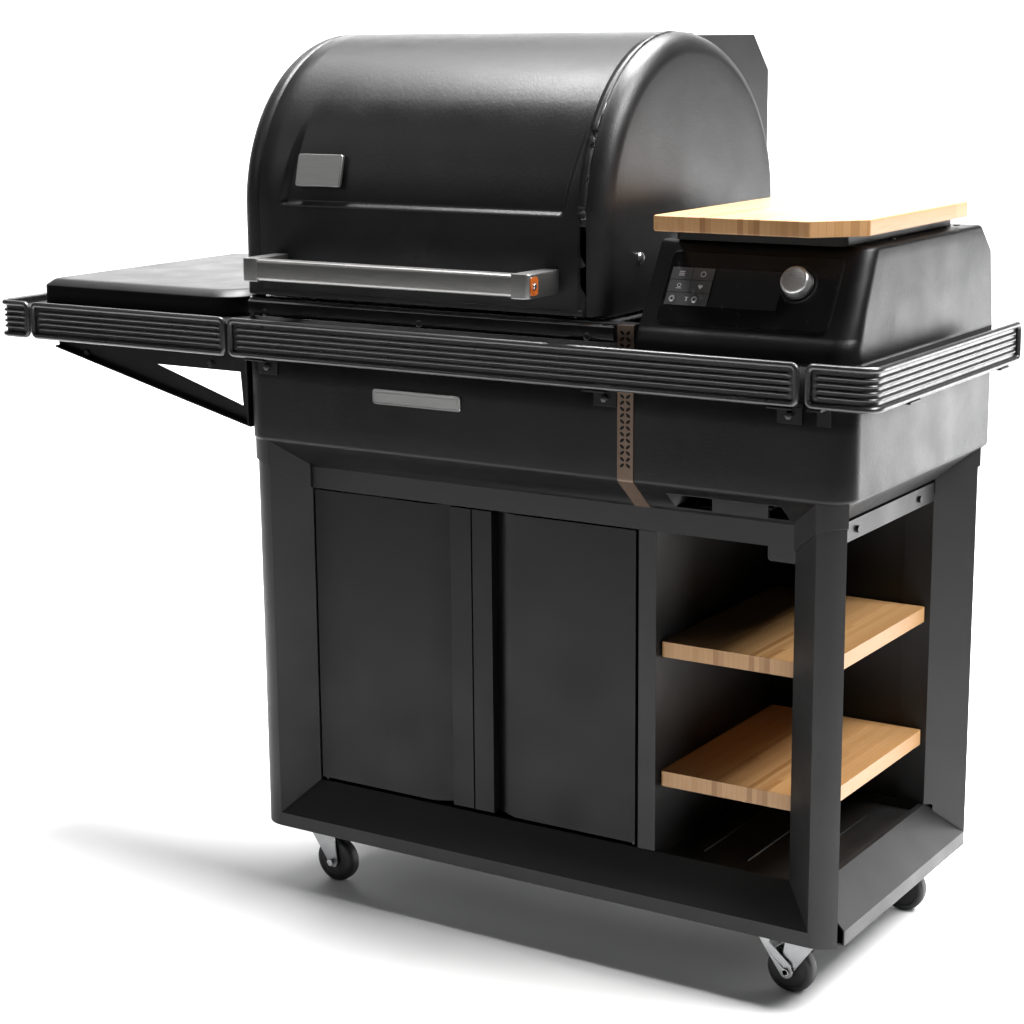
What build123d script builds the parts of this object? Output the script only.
from build123d import *
import math
import os

os.makedirs("parts", exist_ok=True)

# ---- driving dimensions, mm; datum: x = left cabinet face, y = front post face, z = floor
CAB_W = 980.0          # cabinet width over the posts
CAB_D = 480.0          # cabinet depth over the posts
POST_R = 37.0          # where a post meets the base rails, from its corner
NOSE_R = 45.0          # radius of the rounded front posts
REAR_R = 8.0           # corner radius of the rear posts
BEVEL = 47.2           # depth of the picture-frame bevel
POST_WL = 84.0         # left post width on the front
POST_WR = 91.0         # right post width on the front
POST_WD = 55.5         # post depth along the side
BASE_Z0 = 102.5        # underside of the base frame
FLANGE_Z = 123.7       # top of the base flange
LIP_Z = 172.4          # top of the base bevel
FRAME_T = 2.5          # sheet thickness of posts and rails
TOPR_Z0, TOPR_Z1 = 639.5, 672.0     # top rail
BODY_O = 4.6           # body overhang beyond the posts at the front and sides
BODY_Y1 = 500.0        # rear face of the body
FOLD_Z = 717.5         # bottom fold of the body walls
BODY_TOP = 931.0       # top of the body walls
SHOULDER_Z = 893.0     # seam between body and console
WALL = 2.5             # body sheet thickness
BODY_R = 38.0          # front corner radius of the body
BODY_RR = 6.0          # rear corner radius of the body
HOOD_X0, HOOD_X1 = -5.0, 622.0
HOOD_R = 252.0         # radius of the front half of the hood arc
HOOD_B = 283.0         # depth of its rear half, which is a quarter ellipse
HOOD_END_R = 33.0      # rounding of the hood ends
HOOD_CY, HOOD_CZ = 252.0, 1060.5
HOOD_Z0 = 936.0        # lower edge of the hood
HINGE_Y, HINGE_Z = 545.0, 931.0
CONS_X0, CONS_X1 = 672.0, 984.6
RAIL_Z0, RAIL_Z1 = 844.9, 903.6
RAIL_Y = -40.8
RAIL_XL, RAIL_XR = -477.0, 1035.0
RAIL_END_Y = 483.0
TUBE = 9.0             # rail border tube
DOOR_Z0, DOOR_Z1 = 178.0, 637.0
DOOR_T = 22.0
SHELF_TOP_Z = 892.0    # side shelf surface
WHEEL_R, WHEEL_W = 35.0, 22.0
TRAIL = 20.0           # caster trail
PIN_GAP = 0.05         # radial running clearance
HANDLE_Y = -80.0       # front face of the handle
EX_Y1 = 558.0          # rear face of the exhaust housing
SHIFT_X = -(RAIL_XL + RAIL_XR) / 2
SHIFT_Y = -(HANDLE_Y + EX_Y1) / 2


def box(x0, x1, y0, y1, z0, z1):
    return Pos((x0 + x1) / 2, (y0 + y1) / 2, (z0 + z1) / 2) * Box(x1 - x0, y1 - y0, z1 - z0)


def cyl(axis, a0, a1, c0, c1, r):
    rod = Cylinder(r, a1 - a0)
    m = (a0 + a1) / 2
    if axis == "x":
        return Pos(m, c0, c1) * Rot(0, 90, 0) * rod
    if axis == "y":
        return Pos(c0, m, c1) * Rot(90, 0, 0) * rod
    return Pos(c0, c1, m) * rod


def face_xy(pts, z):
    return make_face(Polyline(*[(x, y, z) for x, y in pts], close=True))


def prism_z(pts, z0, z1):
    return extrude(face_xy(pts, z0), z1 - z0, dir=(0, 0, 1))


def prism_x(pts, x0, x1):
    f = make_face(Polyline(*[(x0, y, z) for y, z in pts], close=True))
    return extrude(f, x1 - x0, dir=(1, 0, 0))


def prism_y(pts, y0, y1):
    f = make_face(Polyline(*[(x, y0, z) for x, z in pts], close=True))
    return extrude(f, y1 - y0, dir=(0, 1, 0))


def rrect(x0, x1, y0, y1, r, z):
    return Pos((x0 + x1) / 2, (y0 + y1) / 2, z) * RectangleRounded(x1 - x0, y1 - y0, r)


def rbox(x0, x1, y0, y1, z0, z1, r):
    return extrude(rrect(x0, x1, y0, y1, r, z0), z1 - z0, dir=(0, 0, 1))


def body_face(x0, x1, y0, y1, z, rf, rr):
    # rectangle with front corners of radius rf and rear corners of radius rr
    def bend(cx, cy, r, a):
        return [(cx + r * math.cos(a + t), cy + r * math.sin(a + t), z) for t in (0, math.pi / 4, math.pi / 2)]
    arcs = [bend(x1 - rf, y0 + rf, rf, -math.pi / 2), bend(x1 - rr, y1 - rr, rr, 0.0),
            bend(x0 + rr, y1 - rr, rr, math.pi / 2), bend(x0 + rf, y0 + rf, rf, math.pi)]
    edges = []
    for i, a in enumerate(arcs):
        edges += [Line(arcs[i - 1][2], a[0]), ThreePointArc(*a)]
    return make_face(Wire([e.edge() for e in edges]))


def body_box(t, z0, z1):
    # plan of the body walls, moved inward by t
    f = body_face(-BODY_O + t, CAB_W + BODY_O - t, -BODY_O + t, BODY_Y1 - t, z0, BODY_R - t, BODY_RR - t)
    return extrude(f, z1 - z0, dir=(0, 0, 1))


def save(name, *solids):
    out = []
    for s in solids:
        for b in (s.solids() if hasattr(s, "solids") else [s]):
            if b.volume > 1.0:
                out.append(Pos(SHIFT_X, SHIFT_Y, 0) * b)
    shape = out[0] if len(out) == 1 else Compound(children=out)
    export_step(shape, f"parts/{name}.step")
    print(name, len(out), round(sum(b.volume for b in out) / 1000.0, 1))


# ---- cabinet frame -------------------------------------------------------------
NOSE = (40.0, NOSE_R, 52.0)       # centre of the front post arc and its sweep in degrees


def arc_pts(cx, cy, r, sweep, n=8):
    return [(cx - r * math.sin(a), cy - r * math.cos(a))
            for a in [math.radians(sweep) * (1 - i / n) for i in range(n + 1)]]


def post_outline(w, front, g=0.0):
    # section of a post in its own corner frame, grown outward by g
    cx, cy, sweep = NOSE if front else (REAR_R, REAR_R, 90.0)
    r = NOSE_R if front else REAR_R
    pts = [(x - g * (cx - x) / r, y - g * (cy - y) / r) for x, y in arc_pts(cx, cy, r, sweep)]
    ridge = cx if front else POST_R
    if not front:
        pts.append((ridge, -g))
    slope = math.hypot(BEVEL, w - ridge)
    pts += [(w, BEVEL - g * slope / (w - ridge)), (w, POST_WD), (BEVEL - g * 0.4, POST_WD)]
    return pts


def place(pts, xo, sx, yo, sy):
    return [(xo + sx * x, yo + sy * y) for x, y in pts]


CORNERS = [(0.0, 1, 0.0, 1, POST_WL), (CAB_W, -1, 0.0, 1, POST_WR),
           (0.0, 1, CAB_D, -1, POST_WL), (CAB_W, -1, CAB_D, -1, POST_WR)]

rail_sec = [(0, BASE_Z0), (0, FLANGE_Z), (BEVEL, LIP_Z), (POST_WD, LIP_Z), (POST_WD, BASE_Z0)]
rail_in = [(FRAME_T, BASE_Z0 + FRAME_T), (FRAME_T, FLANGE_Z - 1.0), (BEVEL + 0.8, LIP_Z - FRAME_T),
           (POST_WD - FRAME_T, LIP_Z - FRAME_T), (POST_WD - FRAME_T, BASE_Z0 + FRAME_T)]


def long_rail(pts, x0, x1, yo, sy):
    return prism_x([(yo + sy * y, z) for y, z in pts], x0, x1)


def side_rail(pts, y0, y1, xo, sx):
    return prism_y([(xo + sx * x, z) for x, z in pts], y0, y1)


XL, XR = POST_R, CAB_W - POST_R
SY0, SY1 = 31.0, CAB_D - REAR_R
side_solid = [side_rail(rail_sec, SY0, SY1, xo, sx) for xo, sx in ((0, 1), (CAB_W, -1))]
side_rails = [side_rail(rail_sec, SY0, SY1, xo, sx) - side_rail(rail_in, SY0 - 1, SY1 + 1, xo, sx)
              for xo, sx in ((0, 1), (CAB_W, -1))]
long_solid = [long_rail(rail_sec, XL, XR, yo, sy) for yo, sy in ((0, 1), (CAB_D, -1))]
long_rails = []
for yo, sy in ((0, 1), (CAB_D, -1)):
    r = long_rail(rail_sec, XL, XR, yo, sy) - long_rail(rail_in, XL - 1, XR + 1, yo, sy)
    for s in side_solid:
        r = r - s
    long_rails.append(r)
DOOR_PIVOTS = [(93.5, 54.0), (641.0, 54.0)]
for px, py in DOOR_PIVOTS:
    long_rails[0] = long_rails[0] + cyl("z", LIP_Z - 1.0, LIP_Z + 17.0, px, py, 3.0)
long_rails = [max(r.solids(), key=lambda s: s.volume) for r in long_rails]
save("base_rails", *long_rails, *side_rails)

pan_lo = body_face(BEVEL, CAB_W - BEVEL, BEVEL, BODY_Y1 - 51.8, TOPR_Z1, 8.0, 4.0)
pan_hi = body_face(-BODY_O, CAB_W + BODY_O, -BODY_O, BODY_Y1, FOLD_Z, BODY_R, BODY_RR)
pan_outer = loft([pan_lo, pan_hi])

posts, caps = [], []
for i, (xo, sx, yo, sy, w) in enumerate(CORNERS):
    front = yo == 0.0
    sec = place(post_outline(w, front), xo, sx, yo, sy)
    p = prism_z(sec, BASE_Z0, 700.0)
    core = make_face(Polyline(*[(x, y, BASE_Z0 - 1) for x, y in sec], close=True))
    p = p - extrude(offset(core, -FRAME_T), 620.0, dir=(0, 0, 1))
    for s in side_solid + long_solid:
        p = p - s
    p = p - pan_outer
    if i in (1, 3):
        for zt in (458.0, 268.0):
            y0 = POST_WD if i == 1 else CAB_D - POST_WD - 18
            p = p + box(CAB_W - POST_WR + 3, 924.0, y0, y0 + 18, zt - 3, zt)
    p = max(p.solids(), key=lambda s: s.volume)
    posts.append(p)
    big = place(post_outline(w, front, 3.5), xo, sx, yo, sy)
    c = prism_z(big, 600.0, FOLD_Z) - prism_z(sec, 590.0, 720.0) - pan_outer
    # sloped lower edge: removes everything under a plane that drops toward the inner edges
    k = 37.0 / (POST_WL + BEVEL - POST_R)
    zc = lambda u, v: 676.0 - k * (u + v - POST_R)
    cut = loft([
        make_face(Polyline((xo - sx * 30, yo - sy * 30, 560), (xo - sx * 30, yo - sy * 30, zc(-30, -30)),
                           (xo + sx * 160, yo - sy * 30, zc(160, -30)), (xo + sx * 160, yo - sy * 30, 560),
                           close=True)),
        make_face(Polyline((xo - sx * 30, yo + sy * 130, 560), (xo - sx * 30, yo + sy * 130, zc(-30, 130)),
                           (xo + sx * 160, yo + sy * 130, zc(160, 130)), (xo + sx * 160, yo + sy * 130, 560),
                           close=True))], ruled=True)
    c = c - cut
    caps.append(max(c.solids(), key=lambda s: s.volume))
save("cabinet_posts", *posts)
save("post_caps", *caps)

FR_X0, FR_X1 = POST_WL, CAB_W - POST_WR
top_front = box(FR_X0, FR_X1, BEVEL, BEVEL + 12, TOPR_Z0, TOPR_Z1)
for px, py in DOOR_PIVOTS:
    top_front = top_front + cyl("z", 626.0, TOPR_Z0 + 1, px, py, 3.0)
top_rear = box(FR_X0, FR_X1, CAB_D - BEVEL - 5, CAB_D - BEVEL, TOPR_Z0, TOPR_Z1)
bars = []
for x0 in (BEVEL, CAB_W - BEVEL - 5):
    b = box(x0, x0 + 5, POST_WD, CAB_D - POST_WD, 640.0, 668.0)
    for by in (147.0, 367.0):
        b = b + (cyl("x", x0 - 4, x0 + 2, by, 653.0, 5.0) if x0 < CAB_W / 2
                 else cyl("x", x0 + 2.5, x0 + 9, by, 653.0, 5.0))
    bars.append(b)
save("top_frame", top_front, top_rear, *bars)

floor = box(POST_WD, CAB_W - POST_WD, POST_WD, CAB_D - POST_WD, 157.0, 160.0)
for rx in (720.0, 790.0, 860.0):
    floor = floor + box(rx, rx + 6, 110.0, 370.0, 159.0, 162.0)
save("base_floor", floor)

back = box(POST_WL, CAB_W - POST_WR, CAB_D - POST_WD + 2.5, CAB_D - POST_WD + 5, LIP_Z, TOPR_Z0)
left = box(BEVEL + 3, BEVEL + 5.5, POST_WD, CAB_D - POST_WD, LIP_Z, 640.0)
save("cabinet_panels", back, left)

DIV_X0, DIV_X1 = 651.0, 679.0
div = box(DIV_X0, DIV_X1, BEVEL, BEVEL + 12, LIP_Z, TOPR_Z0)
div = div + box(DIV_X1 - 2.5, DIV_X1, BEVEL + 10, CAB_D - POST_WD + 2.4, 160.2, TOPR_Z0)
div = div - box(DIV_X1 - 5, DIV_X1 + 1, 0, POST_WD + 0.2, 150, LIP_Z)
div = div - box(DIV_X1 - 5, DIV_X1 + 1, CAB_D - POST_WD, CAB_D, 150, LIP_Z)
for zt in (458.0, 268.0):
    div = div + box(DIV_X1 - 1, DIV_X1 + 14, 66.0, 416.0, zt - 3, zt)
save("divider", div)

shelves = []
for zt in (480.0, 290.0):
    s = rbox(681.0, 926.0, 59.0, 422.0, zt - 22, zt, 4.0)
    shelves.append(s)
save("bamboo_shelves", *shelves)

# ---- casters --------------------------------------------------------------------
SWIVELS = {"fl": (75.0, 72.0, 1), "fr": (905.0, 72.0, -1), "rl": (55.0, 425.0, 1), "rr": (925.0, 425.0, -1)}
mounts = []
for n, (sx0, sy0, s) in SWIVELS.items():
    m = box(sx0 - 40, sx0 + 40, sy0 - 30, sy0 + 30, BASE_Z0 - 3, BASE_Z0)
    m = m + cyl("z", 84.0, BASE_Z0 - 2, sx0, sy0, 6.0) + cyl("z", 95.5, BASE_Z0 - 2, sx0, sy0, 19.0)
    mounts.append(m)
    f = cyl("z", 88.0, 95.0, sx0, sy0, 24.0) + box(min(sx0 - s * 16, sx0 + s * 26), max(sx0 - s * 16, sx0 + s * 26),
                                                 sy0 - 16.5, sy0 + 16.5, 85.0, 91.0)
    ax = sx0 + s * TRAIL
    leg = [(sx0 - s * 18, 91.0), (sx0 + s * 22, 91.0), (ax + s * 10, 35.0), (ax + s * 5, 26.0),
           (ax - s * 5, 26.0), (ax - s * 11, 38.0), (sx0 - s * 18, 76.0)]
    for y0 in (sy0 - 16.5, sy0 + 14.0):
        f = f + prism_y(leg, y0, y0 + 2.5)
    y_front = sy0 - 24.0 if n == "fr" else sy0 - 18.5
    f = f + cyl("y", y_front, sy0 + 18.5, ax, WHEEL_R, 4.0)
    f = f - cyl("z", 80.0, 96.0, sx0, sy0, 6.0 + PIN_GAP)
    save(f"caster_fork_{n}", f)
    w = cyl("y", sy0 - WHEEL_W / 2, sy0 + WHEEL_W / 2, ax, WHEEL_R, WHEEL_R)
    w = chamfer(w.edges().filter_by(GeomType.CIRCLE), 2.5)
    w = w - cyl("y", sy0 - 30, sy0 + 30, ax, WHEEL_R, 4.0 + PIN_GAP)
    for y0, y1 in ((sy0 - 11.5, sy0 - 7.0), (sy0 + 7.0, sy0 + 11.5)):
        w = w - (cyl("y", y0, y1, ax, WHEEL_R, 25.0) - cyl("y", y0 - 1, y1 + 1, ax, WHEEL_R, 10.0))
    save(f"caster_wheel_{n}", w)
    if n == "fr":
        lv = [(ax - 9, 31.0), (ax + 9, 31.0), (ax + 7, 46.0), (ax - 26, 74.0), (ax - 34, 66.0)]
        b = prism_y(lv, sy0 - 21.0, sy0 - 18.5) + cyl("y", sy0 - 21.0, sy0 - 18.5, ax, WHEEL_R, 10.0)
        b = b + prism_y([(ax - 26, 74.0), (ax - 24, 77.0), (ax - 40, 82.0), (ax - 42, 78.0), (ax - 34, 66.0)],
                        sy0 - 21.0, sy0 + 8.0)
        b = b - cyl("y", sy0 - 30, sy0, ax, WHEEL_R, 4.0 + PIN_GAP)
        b = b - cyl("y", sy0 - 18.2, sy0 + 30, ax, WHEEL_R, 36.2)
        save("brake_lever", max(b.solids(), key=lambda q: q.volume))
save("caster_mounts", *mounts)

# ---- doors ----------------------------------------------------------------------
Y0, Y1 = BEVEL, BEVEL + DOOR_T
for name, x0, x1, s, (px, py) in (("door_left", 88.0, 371.2, 1, DOOR_PIVOTS[0]),
                                  ("door_right", 373.8, 646.5, -1, DOOR_PIVOTS[1])):
    a, b = (x0, x1) if s == 1 else (x1, x0)
    g0 = b - s * 72.2 if s == 1 else b + 69.2
    g1 = b - s * 36.2 if s == 1 else b + 33.2
    out = [(a, Y0), (g0, Y0), (g1, Y0 + 17.0), (g1, Y0), (b, Y0), (b, Y1), (a, Y1)]
    d = prism_z(out, DOOR_Z0, DOOR_Z1)
    t = 2.0 * s
    inner = [(a + t, Y0 + 2), (g0 - t, Y0 + 2), (g1 - t * 1.2, Y0 + 19.2), (g1 - t * 1.2, Y1 + 1), (a + t, Y1 + 1)]
    d = d - prism_z(inner, DOOR_Z0 + 2, DOOR_Z1 - 2)
    stile = [(g1 + t, Y0 + 2), (b - t, Y0 + 2), (b - t, Y1 + 1), (g1 + t, Y1 + 1)]
    d = d - prism_z(stile, DOOR_Z0 + 2, DOOR_Z1 - 2)
    bx0, bx1 = (a + 0.01, a + 14) if s == 1 else (a - 14, a - 0.01)
    for z0, z1 in ((DOOR_Z0, DOOR_Z0 + 14), (DOOR_Z1 - 14, DOOR_Z1)):
        d = d + box(bx0, bx1, Y0, Y1 - 4, z0, z1)
    d = d - cyl("z", DOOR_Z0 - 1, LIP_Z + 18.0, px, py, 3.0 + PIN_GAP)
    d = d - cyl("z", 625.0, DOOR_Z1 + 1, px, py, 3.0 + PIN_GAP)
    save(name, max(d.solids(), key=lambda q: q.volume))

# ---- body shell -----------------------------------------------------------------
inner_lo = body_face(BEVEL + 3, CAB_W - BEVEL - 3, BEVEL + 3, BODY_Y1 - 54.8, TOPR_Z1 + WALL, 6.0, 2.0)
inner_hi = body_face(-BODY_O + WALL, CAB_W + BODY_O - WALL, -BODY_O + WALL, BODY_Y1 - WALL, FOLD_Z,
                     BODY_R - WALL, BODY_RR - WALL)
pan = pan_outer - loft([inner_lo, inner_hi])
pocket = box(713.0, 885.0, -10.0, 74.0, 679.5, 704.5)
pan = pan - pocket
pk = box(711.0, 887.0, 0.0, 76.0, 677.5, 706.5) - pocket
pk = pk & pan_outer
pan = pan + pk
pan = pan - box(770.0, 868.0, 60.0, 90.0, 692.5, 698.5)
pan = pan - box(795.0, 845.0, 225.0, 275.0, 660.0, 680.0)
pan = pan - cyl("z", 660.0, 680.0, 190.0, 240.0, 32.0)
save("body_pan", max(pan.solids(), key=lambda q: q.volume))

ring = body_box(0.0, FOLD_Z, BODY_TOP) - body_box(WALL, FOLD_Z - 1, BODY_TOP + 1)
ring = ring - box(CONS_X0, 1000.0, -50.0, 520.0, SHOULDER_Z, 960.0)
front = ring & box(-20.0, 1000.0, -20.0, BODY_R - BODY_O, 700.0, 940.0)
save("body_front", max(front.solids(), key=lambda q: q.volume))
rest = ring & box(-20.0, 1000.0, BODY_R - BODY_O, 520.0, 700.0, 940.0)
w_left = rest & box(-20.0, 0.0, 0.0, 453.0, 700.0, 940.0)
w_right = rest & box(975.0, 1000.0, 0.0, 453.0, 700.0, 940.0)
w_rear = rest & box(-20.0, 1000.0, 453.0, 520.0, 700.0, 940.0)
save("body_walls", w_left, w_right, w_rear)

# ---- cook chamber and what is in it --------------------------------------------
CH = (24.0, 600.0, 26.0, 466.0)
AUG_Y, AUG_Z = 250.0, 764.0
ch = box(CH[0], CH[1], CH[2], CH[3], 735.0, 929.0) - box(CH[0] + 2.5, CH[1] - 2.5, CH[2] + 2.5, CH[3] - 2.5,
                                                        737.5, 940.0)
flange = (rbox(-BODY_O + WALL, 634.0, -BODY_O + WALL, BODY_Y1 - WALL, 928.5, BODY_TOP, 30.0)
          - box(CH[0] + 2.5, CH[1] - 2.5, CH[2] + 2.5, CH[3] - 2.5, 900.0, 940.0))
flange = flange & body_box(WALL, 900.0, 940.0)
ch = ch + flange
for y0 in (CH[2] + 2.0, CH[3] - 16.0):
    ch = ch + box(CH[0] + 2.0, CH[1] - 2.0, y0, y0 + 14, 898.0, 900.0)
ch = ch - cyl("x", 590.0, 610.0, AUG_Y, AUG_Z, 24.3) - cyl("z", 730.0, 740.0, 190.0, 240.0, 20.0)
save("cook_chamber", max(ch.solids(), key=lambda q: q.volume))

pot = cyl("z", 738.0, 792.0, 320.0, AUG_Y, 58.0) - cyl("z", 741.0, 800.0, 320.0, AUG_Y, 55.0)
tube = cyl("x", 378.5, 904.0, AUG_Y, AUG_Z, 24.0) - cyl("x", 370.0, 910.0, AUG_Y, AUG_Z, 21.0)
tube = tube - box(797.0, 843.0, 227.0, 273.0, AUG_Z, 800.0) - box(797.0, 843.0, 227.0, 273.0, 700.0, AUG_Z - 12)
pot = pot - cyl("x", 360.0, 390.0, AUG_Y, AUG_Z, 15.0)
save("fire_pot_and_auger_tube", pot, tube)

screw = cyl("x", 392.0, 903.0, AUG_Y, AUG_Z, 6.0)
for i in range(24):
    disc = Pos(402.0 + i * 20.5, AUG_Y, AUG_Z) * Rot(0, 90, 0) * Rot(14, 0, 0) * Cylinder(18.5, 2.0)
    screw = screw + disc
save("auger", screw)

gear = box(906.0, 962.0, 222.0, 278.0, 734.0, 794.0)
fan = cyl("y", 320.0, 372.0, 880.0, 745.0, 55.0)
save("drive_housing", gear, fan)

baf = prism_x([(70.0, 800.0), (120.0, 812.0), (372.0, 812.0), (422.0, 800.0), (422.0, 802.0), (372.0, 814.0),
               (120.0, 814.0), (70.0, 802.0)], 110.0, 530.0)
for bx, by in ((130.0, 140.0), (510.0, 140.0), (130.0, 350.0), (510.0, 350.0)):
    baf = baf + cyl("z", 737.5, 812.5, bx, by, 5.0)
save("heat_baffle", baf)
tray = prism_x([(34.0, 856.0), (250.0, 838.0), (458.0, 856.0), (458.0, 866.0), (456.0, 866.0), (456.0, 858.0),
                (250.0, 840.0), (36.0, 858.0), (36.0, 866.0), (34.0, 866.0)], 34.0, 590.0)
for bx in (60.0, 560.0):
    for y0 in (120.0, 300.0):
        tray = tray + box(bx, bx + 4, y0, y0 + 72.0, 737.5, 844.0)
save("drip_tray", tray)

grates = []
for z0, y0, y1, x0, x1 in ((900.2, 30.0, 462.0, 28.0, 596.0), (1085.0, 130.0, 380.0, 34.0, 590.0)):
    g = box(x0, x1, y0, y0 + 6, z0, z0 + 6) + box(x0, x1, y1 - 6, y1, z0, z0 + 6)
    n = 27
    for i in range(n):
        gx = x0 + (x1 - x0 - 5) * i / (n - 1)
        g = g + box(gx, gx + 5, y0 + 3, y1 - 3, z0 + 1, z0 + 6)
    if z0 > 1000:
        for lx in (x0, x1 - 5):
            g = g + box(lx, lx + 5, y0, y0 + 6, 906.4, z0 + 3) + box(lx, lx + 5, y1 - 6, y1, 906.4, z0 + 3)
    grates.append(g)
save("grates", *grates)

keg = cyl("z", 520.0, 655.0, 190.0, 240.0, 80.0) - cyl("z", 522.5, 652.5, 190.0, 240.0, 77.5)
keg = keg + cyl("z", 652.0, 671.4, 190.0, 240.0, 45.0) - cyl("z", 640.0, 680.0, 190.0, 240.0, 42.5)
save("grease_keg", max(keg.solids(), key=lambda q: q.volume))

# ---- console, hopper, controls --------------------------------------------------
PY0, PZ0, PY1, PZ1 = 7.0, 928.0, 70.0, 1037.0
LEN = math.hypot(PY1 - PY0, PZ1 - PZ0)
UY, UZ = (PY1 - PY0) / LEN, (PZ1 - PZ0) / LEN
PANEL = Plane(origin=(0, PY0, PZ0), x_dir=(1, 0, 0), z_dir=(0, -UZ, UY))
CTOP = 1040.0
cons_pts = [(-BODY_O, SHOULDER_Z), (-BODY_O, 900.0), (-3.2, 909.0), (0.4, 918.0), (PY0, PZ0), (PY1, PZ1), (76.0, CTOP),
            (462.0, CTOP), (496.0, 1004.6), (BODY_Y1, 1000.0), (BODY_Y1, SHOULDER_Z)]


def inset_profile(t):
    return [(-BODY_O + t, SHOULDER_Z - 1), (-BODY_O + t, 900.0), (-3.2 + t, 908.0), (0.4 + t, 916.5),
            (PY0 + t, PZ0 - 0.6 * t), (PY1 + t, PZ1 - t * 0.6), (77.0, CTOP - t), (461.0, CTOP - t),
            (496.0 - t, 1004.0 - t * 0.4), (BODY_Y1 - t, 999.0), (BODY_Y1 - t, SHOULDER_Z - 1)]


def console_solid(pts, x0, x1, lean):
    return prism_x(pts, x0, x1) - prism_y([(x1, 900.0), (x1 + 20, 900.0), (x1 + 20, 1060.0), (x1 - lean, 1060.0)],
                                          -50, 540)


cs = console_solid(cons_pts, CONS_X0, CONS_X1, 9.0)
corner_cut = prism_z([(960.0, -20.0), (1000.0, -20.0), (1000.0, 17.0), (990.0, 17.0), (984.6, 17.0), (978.0, 4.5),
                      (966.0, -4.7), (960.0, -4.7)], 880.0, 930.0)
cs = cs - corner_cut
wedge = Plane(origin=(978.0, PY0, PZ0), x_dir=(1, 0, 0), z_dir=(0, -UZ, UY))
wsec = make_face(Polyline((-24.0, -30.0, 6.0), (20.0, -30.0, 6.0), (20.0, -30.0, -30.0), (4.0, -30.0, -21.0),
                          (-6.0, -30.0, -7.0), (-24.0, -30.0, 0.05), close=True))
wsolid = extrude(wsec, 190.0, dir=(0, 1, 0))
cs = cs - wedge.location * wsolid
ci = console_solid(inset_profile(WALL), CONS_X0 + WALL, CONS_X1 - WALL - 10, 0.5)
ci = ci - box(940.0, 1000.0, -20.0, 38.0, 880.0, 1060.0)
HOP = (704.0, 936.0, 86.0, 418.0)
cs = cs - ci - box(HOP[0], HOP[1], HOP[2], HOP[3], 1000.0, 1060.0)
knx, kns = 889.0, 71.5
for hx in (712.0, 916.0):
    cs = cs + box(hx, hx + 14, 439.0, 446.0, CTOP - 1.2, CTOP + 6) + cyl("x", hx, hx + 14, 442.5, CTOP + 6, 4.0)
    cs = cs - cyl("x", hx - 1, hx + 15, 442.5, CTOP + 6, 2.0 + PIN_GAP)
save("console_shell", max(cs.solids(), key=lambda q: q.volume))

hx0, hx1, hy0, hy1 = HOP[0] + 0.1, HOP[1] - 0.1, HOP[2] + 0.1, HOP[3] - 0.1
SHEET = 2.0
bin_walls = [box(hx0, hx1, y, y + SHEET, 880.0, CTOP - 0.1) for y in (hy0, hy1 - SHEET)]
bin_walls += [box(x, x + SHEET, hy0 + SHEET, hy1 - SHEET, 880.0, CTOP - 0.1) for x in (hx0, hx1 - SHEET)]
fo = loft([Pos(820, 250, AUG_Z + 25.0) * Rectangle(52, 52), Pos(820, 252, 880.0) * Rectangle(231.8, 331.8)], ruled=True)
fi = loft([Pos(820, 250, AUG_Z + 24.9) * Rectangle(47, 47), Pos(820, 252, 880.1) * Rectangle(228, 328)], ruled=True)
funnel = max((fo - fi).solids(), key=lambda q: q.volume)
chute = box(795.0, 845.0, 225.0, 275.0, 700.0, 752.0) - box(797.0, 843.0, 227.0, 273.0, 690.0, 760.0)
chute = chute - cyl("x", 700.0, 900.0, AUG_Y, AUG_Z, 24.0)
save("hopper_bin", *bin_walls, funnel, max(chute.solids(), key=lambda q: q.volume))

gate = box(776.0, 864.0, 24.0, 290.0, 694.0, 696.6) + box(778.0, 861.0, 20.0, 26.0, 683.0, 701.0)
save("cleanout_gate", gate)

lid = rbox(696.0, 944.0, 62.0, 432.0, CTOP + 0.5, CTOP + 15.0, 10.0)
lid = lid - rbox(698.5, 941.5, 64.5, 429.5, CTOP - 1, CTOP + 12.5, 8.0)
for hx in (726.5, 900.5):
    lid = lid + box(hx, hx + 15, 430.0, 442.5, CTOP + 8, CTOP + 10.5) + cyl("x", hx, hx + 15, 442.5, CTOP + 6, 4.0)
for hx in (706.0, 896.0):
    lid = lid + cyl("x", hx if hx > 800 else hx + 1, hx + 40, 442.5, CTOP + 6, 2.0)
save("hopper_lid", max(lid.solids(), key=lambda q: q.volume))

BB = (692.0, 976.0, 6.0, 408.0)
bpts = [(BB[0] + 4, BB[2]), (BB[1] - 58, BB[2]), (BB[1], BB[2] + 58), (BB[1], BB[3] - 4), (BB[1] - 4, BB[3]),
        (BB[0] + 40, BB[3]), (BB[0], BB[3] - 40), (BB[0], BB[2] + 4)]
board = prism_z(bpts, CTOP + 15.4, CTOP + 36.4)
save("cutting_board", board)

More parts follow.
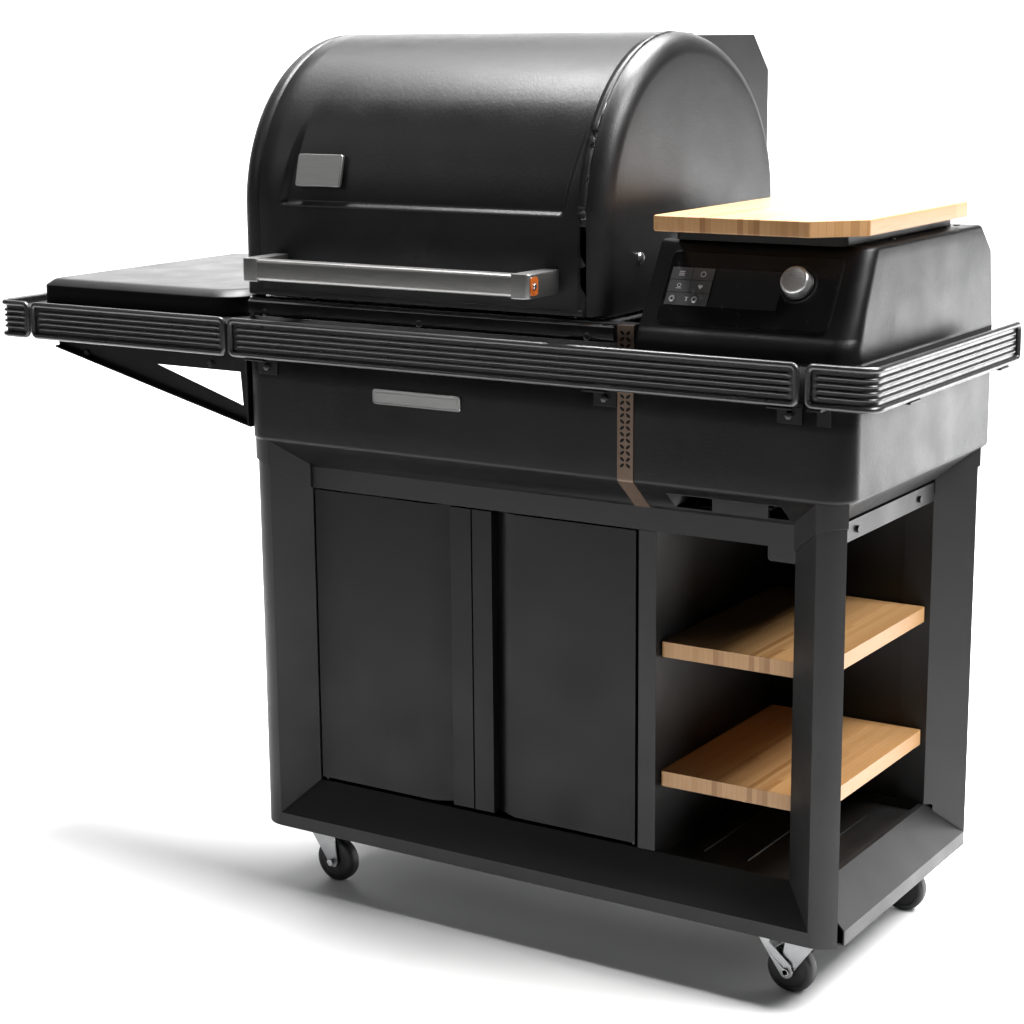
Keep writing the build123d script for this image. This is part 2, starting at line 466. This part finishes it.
panel = PANEL.location * extrude(Pos(819.5, 59.0, 0) * RectangleRounded(245.0, 102.0, 8.0), 3.0)
panel = panel + PANEL.location * (Pos(knx, kns, 5.5) * Cylinder(4.0, 7.0))
save("control_panel", panel)
tiles = PANEL.location * (Pos(733.0, 60.2, 3.4) * Box(66.0, 55.0, 0.8))
scr = PANEL.location * (Pos(816.5, 60.2, 3.3) * Box(100.0, 55.0, 0.6))
for jx in (712.0, 745.0):
    tiles = tiles + PANEL.location * (Pos(jx, 41.0, 5.0) * Cylinder(5.5, 3.0))
save("screen_and_tiles", tiles, scr)
knob = PANEL.location * (Pos(knx, kns, 13.5) * Cylinder(20.5, 20.0))
knob = knob - PANEL.location * (Pos(knx, kns, 6.0) * Cylinder(4.0 + PIN_GAP, 7.0))
save("control_knob", knob)

inlet = box(930.0, 966.0, BODY_Y1, BODY_Y1 + 6, 760.0, 800.0) - box(936.0, 960.0, BODY_Y1 + 1, BODY_Y1 + 7,
                                                                 772.0, 794.0)
for ix, iz in ((942.0, 783.0), (948.0, 788.0), (954.0, 783.0)):
    inlet = inlet + box(ix - 1, ix + 1, BODY_Y1 + 0.5, BODY_Y1 + 5, iz - 2.5, iz + 2.5)
save("power_inlet", inlet)

# ---- trim on the body -----------------------------------------------------------
strip = box(646.5, 671.0, -BODY_O - 1.2, -BODY_O, FOLD_Z, BODY_TOP - 1)
for r in range(30):
    for hx in (655.0, 664.0):
        strip = strip - box(hx - 2.2, hx + 2.2, -10.0, 0.0, 735.0 + r * 6.3, 738.2 + r * 6.3)
slant = prism_x([(-BODY_O, FOLD_Z), (-BODY_O - 1.2, FOLD_Z), (BEVEL - 1.0, TOPR_Z1), (BEVEL, TOPR_Z1)],
                646.5, 671.0)
strip = strip + slant
save("bronze_strip", strip)
plate = rbox(239.5, 392.0, 789.5, 811.5, 0.0, 2.5, 5.0)
plate = Pos(0, -BODY_O, 0) * Rot(90, 0, 0) * plate
save("front_plate", plate)

screws = []
for sx0 in (45.6, 324.0, 600.0):
    screws.append(cyl("y", -BODY_O - 2.5, -BODY_O, sx0, 911.0, 5.0))
for sx0, sy0 in ((962.0, 170.0), (962.0, 400.0)):
    screws.append(cyl("z", CTOP, CTOP + 2.0, sx0, sy0, 4.5))
save("body_screws", *screws)

# ---- rails ----------------------------------------------------------------------
def loop(t0, t1, z0, z1, r=24.0):
    a = rbox(RAIL_XL + t0, RAIL_XR - t0, RAIL_Y + t0, 900.0, z0, z1, r - t0)
    b = rbox(RAIL_XL + t1, RAIL_XR - t1, RAIL_Y + t1, 899.0, z0 - 1, z1 + 1, r - t1)
    return a - b


rail = loop(0, TUBE, RAIL_Z1 - TUBE, RAIL_Z1) + loop(0, TUBE, RAIL_Z0, RAIL_Z0 + TUBE)
rail = rail + loop(3.5, 6.5, RAIL_Z0 + TUBE - 1, RAIL_Z1 - TUBE + 1)
for i in range(4):
    zc0 = RAIL_Z0 + TUBE + 2.6 + i * 10.0
    rail = rail + loop(1.5, 4.0, zc0, zc0 + 4.0)


def rail_cut(x0, x1, ends):
    s = rail & box(x0, x1, RAIL_Y - 1, RAIL_END_Y, RAIL_Z0 - 1, RAIL_Z1 + 1)
    for e in ends:
        s = s + e
    return max(s.solids(), key=lambda q: q.volume)


def end_x(x):
    return box(x, x + TUBE, RAIL_Y, RAIL_Y + TUBE, RAIL_Z0, RAIL_Z1)


save("rail_main", rail_cut(-2.0, 928.0, [end_x(-2.0), end_x(928.0 - TUBE)]))
save("rail_shelf", rail_cut(-404.0, -6.0, [end_x(-404.0), end_x(-6.0 - TUBE)]))
save("rail_right", rail_cut(936.0, RAIL_XR + 1, [end_x(936.0), box(RAIL_XR - TUBE, RAIL_XR, RAIL_END_Y - TUBE,
                                                               RAIL_END_Y, RAIL_Z0, RAIL_Z1)]))
save("rail_left", rail_cut(RAIL_XL - 1, -407.0, [end_x(-407.0 - TUBE), box(RAIL_XL, RAIL_XL + TUBE,
                                                                       RAIL_END_Y - TUBE, RAIL_END_Y,
                                                                       RAIL_Z0, RAIL_Z1)]))
SH = (-466.0, -BODY_O, -25.0, 530.0)
clips = []
for cx in (47.6, 628.1, 901.6):
    c = box(cx - 18, cx + 18, RAIL_Y + 1, -BODY_O, RAIL_Z0 - 3, RAIL_Z0)
    c = c + box(cx - 18, cx + 18, -BODY_O - 2.5, -BODY_O, 818.0, RAIL_Z0)
    clips.append(c)
c = box(940.0, 960.0, RAIL_Y + 1, -BODY_O, RAIL_Z0 - 3, RAIL_Z0) + box(940.0, 960.0, -BODY_O - 2.5, -BODY_O,
                                                                     818.0, RAIL_Z0)
for cy in (90.0, 420.0):
    c2 = box(CAB_W + BODY_O, RAIL_XR - 1, cy - 18, cy + 18, RAIL_Z0 - 3, RAIL_Z0)
    c2 = c2 + box(CAB_W + BODY_O, CAB_W + BODY_O + 2.5, cy - 18, cy + 18, RAIL_Z0 - 3, 884.0)
    clips.append(c2)
clips.append(c)
for cx in (-430.0, -340.0, -60.0):
    clips.append(box(cx - 12, cx + 12, RAIL_Y + TUBE, SH[2], 872.0, 886.0))
for cy in (90.0, 420.0):
    clips.append(box(RAIL_XL + TUBE, SH[0], cy - 12, cy + 12, 872.0, 886.0))
save("rail_clips", *clips)

# ---- side shelf, cooktop, cover -------------------------------------------------
sh = box(SH[0], SH[1], SH[2], SH[3], 866.0, SHELF_TOP_Z) - box(SH[0] + 2, SH[1] - 2, SH[2] + 2, SH[3] - 2, 860.0,
                                                              SHELF_TOP_Z - 2.5)
save("side_shelf", sh)
gus = []
for gy in (20.0, 440.0):
    g = prism_y([(-402.0, 889.5), (-402.0, 826.0), (-BODY_O, 730.0), (-BODY_O, 865.9), (-7.0, 865.9),
                 (-7.0, 889.5)], gy, gy + 3.0)
    g = g - prism_y([(-196.0, 812.0), (-28.0, 812.0), (-24.0, 760.0)], gy - 1, gy + 4)
    g = g + prism_y([(-402.0, 826.0), (-BODY_O, 730.0), (-BODY_O, 733.0), (-402.0, 829.0)], gy - 9, gy + 3)
    g = g + box(-BODY_O - 2.5, -BODY_O, gy - 12, gy + 3, 733.0, 860.0)
    gus.append(g)
save("shelf_gussets", *gus)
glass = rbox(-400.0, -70.0, 60.0, 420.0, SHELF_TOP_Z, SHELF_TOP_Z + 6, 12.0)
save("cooktop_glass", glass)
CV = (-444.0, -42.0, 30.0, 520.0)
cv_lo = rrect(CV[0], CV[1], CV[2], CV[3], 24.0, SHELF_TOP_Z + 0.4)
cvr = extrude(cv_lo, 29.6, dir=(0, 0, 1))
cv_top = loft([rrect(CV[0], CV[1], CV[2], CV[3], 24.0, SHELF_TOP_Z + 30.0),
               rrect(CV[0] + 15, CV[1] - 15, CV[2] + 15, CV[3] - 15, 12.0, SHELF_TOP_Z + 40.5)])
cover = cvr + cv_top
ci_lo = extrude(rrect(CV[0] + 2.5, CV[1] - 2.5, CV[2] + 2.5, CV[3] - 2.5, 21.5, SHELF_TOP_Z - 1), 30.0,
                dir=(0, 0, 1))
ci_top = loft([rrect(CV[0] + 2.5, CV[1] - 2.5, CV[2] + 2.5, CV[3] - 2.5, 21.5, SHELF_TOP_Z + 29.0),
               rrect(CV[0] + 16, CV[1] - 16, CV[2] + 16, CV[3] - 16, 11.0, SHELF_TOP_Z + 38.0)])
cover = cover - ci_lo - ci_top
save("cooktop_cover", cover)

# ---- hood -----------------------------------------------------------------------
def d_face(t, x, z0):
    # side outline of the hood, moved inward by t: front quarter circle, rear quarter ellipse
    r, b = HOOD_R - t, HOOD_B - t
    front, rear = HOOD_CY - r, HOOD_CY + b
    h = math.sqrt(0.5)
    edges = [Line((front, z0), (front, HOOD_CZ)),
             ThreePointArc((front, HOOD_CZ), (HOOD_CY - h * r, HOOD_CZ + h * r), (HOOD_CY, HOOD_CZ + r)),
             EllipticalCenterArc((HOOD_CY, HOOD_CZ), b, r, 0, arc_size=90),
             Line((rear, HOOD_CZ), (rear, z0)), Line((rear, z0), (front, z0))]
    return Plane.YZ.offset(x) * make_face(Curve() + edges)


def d_solid(t, x0, x1, z0):
    return extrude(d_face(t, x0, z0), x1 - x0, dir=(1, 0, 0))


outer = d_solid(0, HOOD_X0, HOOD_X1, HOOD_Z0)
end_edges = [e for e in outer.edges() if (abs(e.center().X - HOOD_X0) < 0.1 or abs(e.center().X - HOOD_X1) < 0.1)
             and e.center().Z > HOOD_Z0 + 1]
outer = fillet(end_edges, HOOD_END_R)
inner = d_solid(2.5, HOOD_X0 + 2.5, HOOD_X1 - 2.5, HOOD_Z0 - 1)
in_edges = [e for e in inner.edges() if (abs(e.center().X - HOOD_X0 - 2.5) < 0.1
                                         or abs(e.center().X - HOOD_X1 + 2.5) < 0.1) and e.center().Z > HOOD_Z0]
inner = fillet(in_edges, HOOD_END_R - 2.5)
shell = outer - inner
save("hood_shell", max(shell.solids(), key=lambda q: q.volume))

lin = d_solid(16.0, 16.0, 601.0, 950.0) - d_solid(17.5, 17.5, 599.5, 949.0)
for lx in (150.0, 450.0):
    lin = lin + (box(lx, lx + 20, HOOD_CY - 10, HOOD_CY + 10, 1290.0, HOOD_CZ + HOOD_R - 2.9)
                 - d_solid(17.5, 17.5, 599.5, 949.0))
save("hood_liner", max(lin.solids(), key=lambda q: q.volume))

EX0, EX1 = HOOD_X0 + 32.0, HOOD_X1 - 32.0
HOOD_Y1 = HOOD_CY + HOOD_B
ex_pts = [(480.0, 990.0), (EX_Y1, 990.0), (EX_Y1, 1254.0), (507.0, 1307.0), (300.0, 1307.0), (300.0, 1100.0),
          (480.0, 1000.0)]
ex = prism_x(ex_pts, EX0, EX1) - d_solid(0, EX0 - 5, EX1 + 5, 900.0)
ex_in = [(480.0, 980.0), (EX_Y1 - 2.5, 980.0), (EX_Y1 - 2.5, 1253.0), (506.0, 1304.5), (360.0, 1304.5),
         (360.0, 1100.0), (480.0, 1000.0)]
ex = ex - (prism_x(ex_in, EX0 + 2.5, EX1 - 2.5) - d_solid(-2.5, EX0, EX1, 900.0))
ex = max(ex.solids(), key=lambda q: q.volume)
for hx in (100.0, 500.0):
    leaf = box(hx - 8, hx + 8, HOOD_Y1 + 0.2, HOOD_Y1 + 4, 940.0, 1010.0)
    leaf = leaf + box(hx - 8, hx + 8, HOOD_Y1 + 2.5, HOOD_Y1 + 7, 931.0, 945.0)
    leaf = leaf + cyl("x", hx - 8, hx + 8, HINGE_Y, HINGE_Z, 8.0)
    leaf = leaf - cyl("x", hx - 10, hx + 10, HINGE_Y, HINGE_Z, 4.0 + PIN_GAP)
    ex = ex + leaf
save("exhaust_housing", max(ex.solids(), key=lambda q: q.volume))
hb = []
for hx in (100.0, 500.0):
    b = cyl("x", hx - 22, hx + 22, HINGE_Y, HINGE_Z, 4.0)
    for x0 in (hx - 22, hx + 9):
        b = b + cyl("x", x0, x0 + 13, HINGE_Y, HINGE_Z, 7.5) + box(x0, x0 + 13, BODY_Y1, HINGE_Y, 916.0, 925.0)
    b = b + box(hx - 22, hx + 22, BODY_Y1, BODY_Y1 + 3, 895.0, 925.0)
    hb.append(b)
save("hood_hinge_base", *hb)

BADGE_X, BADGE_Z, BADGE_W, BADGE_H = 143.5, 1120.5, 81.0, 48.0
ang = math.asin((BADGE_Z - HOOD_CZ) / HOOD_R)
BPL = Plane(origin=(0, HOOD_CY - HOOD_R * math.cos(ang), HOOD_CZ + HOOD_R * math.sin(ang)), x_dir=(1, 0, 0),
            z_dir=(0, -math.cos(ang), math.sin(ang)))
badge = BPL.location * (Pos(BADGE_X, 0, 0.0) * extrude(RectangleRounded(BADGE_W, BADGE_H, 4.0), 3.0))
badge = badge - d_solid(0, HOOD_X0, HOOD_X1, HOOD_Z0)
badge = badge + BPL.location * (Pos(BADGE_X, 0, 1.6) * Box(BADGE_W - 16.0, BADGE_H - 16.0, 2.0))
badge = badge - d_solid(0, HOOD_X0, HOOD_X1, HOOD_Z0)
save("hood_badge", max(badge.solids(), key=lambda q: q.volume))

HZ0, HZ1 = 965.5, 998.5
HX0, HX1 = 64.0, 553.0
tubeo = Pos((HX0 + HX1) / 2, HANDLE_Y + 13, (HZ0 + HZ1) / 2) * Rot(0, 90, 0) * extrude(
    RectangleRounded(HZ1 - HZ0 - 2, 25.0, 7.0), (HX1 - HX0) / 2 - 28.0, both=True)
save("handle_bar", tubeo)
brk, ins = [], []
for x0, s in ((HX0, 1), (HX1, -1)):
    a, b = sorted((x0, x0 + s * 28.0))
    g = box(a, b, HANDLE_Y, HANDLE_Y + 27, HZ0, HZ1)
    c, d = sorted((x0 + s * 6, x0 + s * 26.0))
    g = g + box(c, d, HANDLE_Y + 26, 1.0, HZ0 + 3, HZ1 - 3)
    g = g - d_solid(0, HOOD_X0, HOOD_X1, HOOD_Z0)
    brk.append(max(g.solids(), key=lambda q: q.volume))
    a, b = sorted((x0, x0 - s * 6.0))
    ins.append(box(a, b, HANDLE_Y + 4, HANDLE_Y + 24, HZ0 + 4, HZ1 - 4)
               + cyl("x", a - 2 if s == 1 else a, b if s == 1 else b + 2, HANDLE_Y + 14, (HZ0 + HZ1) / 2, 6.0))
save("handle_brackets", *brk)
save("handle_inserts", *ins)
